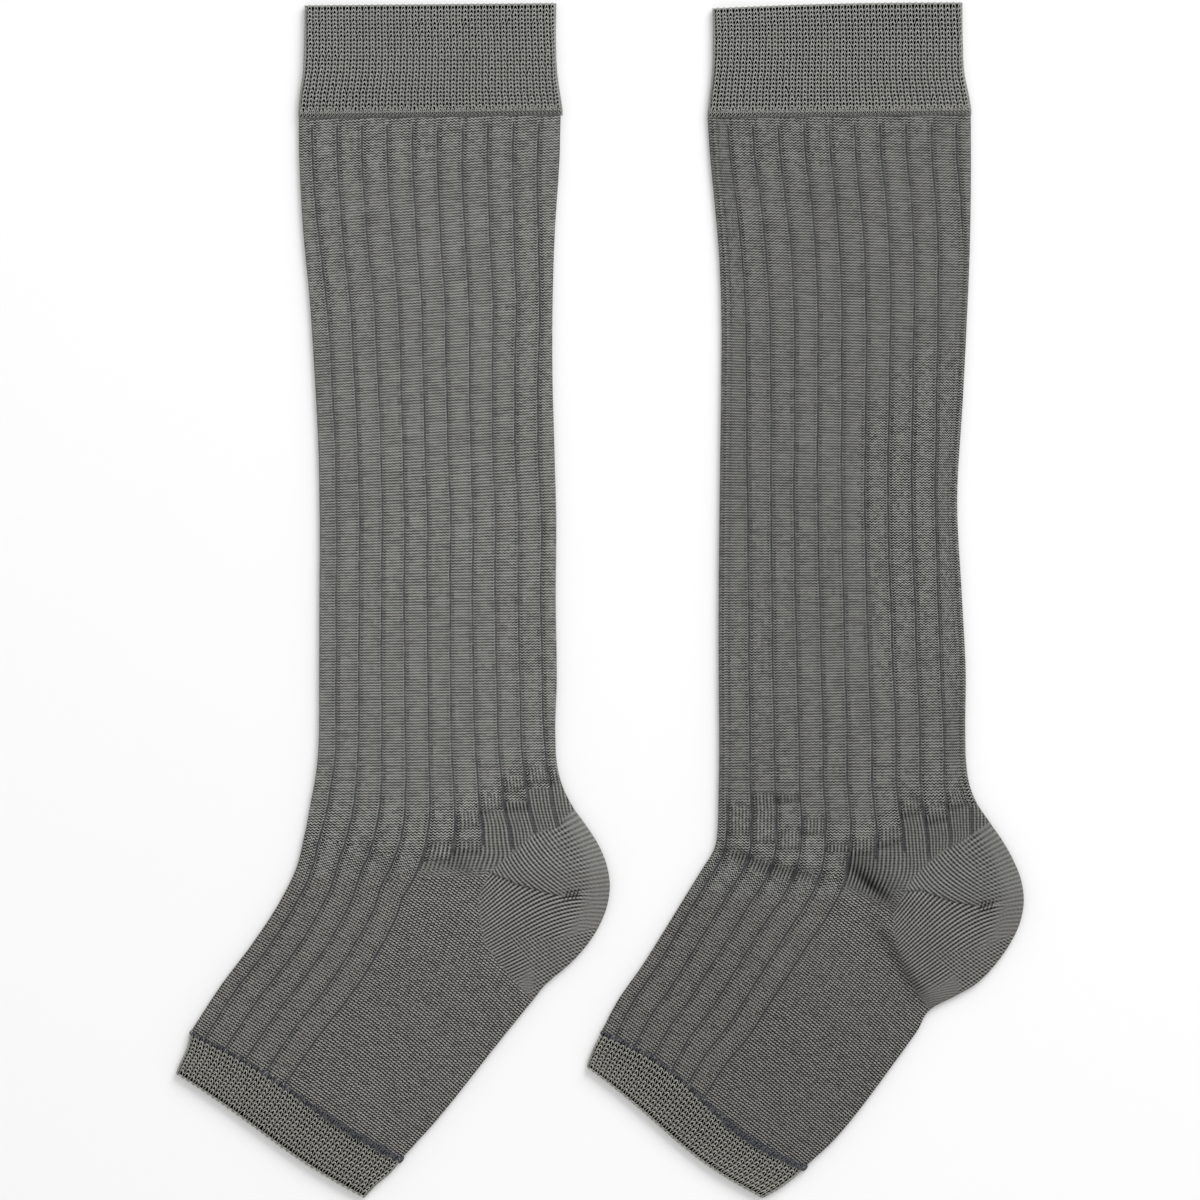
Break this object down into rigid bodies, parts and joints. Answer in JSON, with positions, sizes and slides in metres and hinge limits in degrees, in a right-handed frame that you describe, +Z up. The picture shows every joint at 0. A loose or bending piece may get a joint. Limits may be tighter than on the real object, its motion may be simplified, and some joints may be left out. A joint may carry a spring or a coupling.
{
  "type": "pair of long ribbed socks with open toes",
  "caption": "Pair of knee-high ribbed knit socks with openwork cuffs, turned heels and open toes edged by an openwork band, laid flat side by side.",
  "frame": {"origin": "middle of the pair's footprint, on the surface that the socks lie on", "axes": "+Y along the legs towards the cuffs, +X to the right as seen from above with the cuffs away from the viewer, +Z up out of the surface"},
  "size_m": [0.3324, 0.4686, 0.0048],
  "materials": {
    "cuff_knit": "openwork mesh knit in matt grey-green yarn",
    "rib_knit": "broad ribs of fine stitches in matt grey-green yarn, parted by dark grooves",
    "heel_knit": "fine plain knit in grey-green yarn with a slight sheen",
    "band_knit": "openwork mesh knit in matt grey-green yarn with a dark overlocked seam"
  },
  "bodies": {
    "root": {"left_cuff": "cuff_knit", "left_leg": "rib_knit", "left_heel": "heel_knit", "left_toe_band": "band_knit", "right_cuff": "cuff_knit", "right_leg": "rib_knit", "right_heel": "heel_knit", "right_toe_band": "band_knit"}
  },
  "joints": []
}
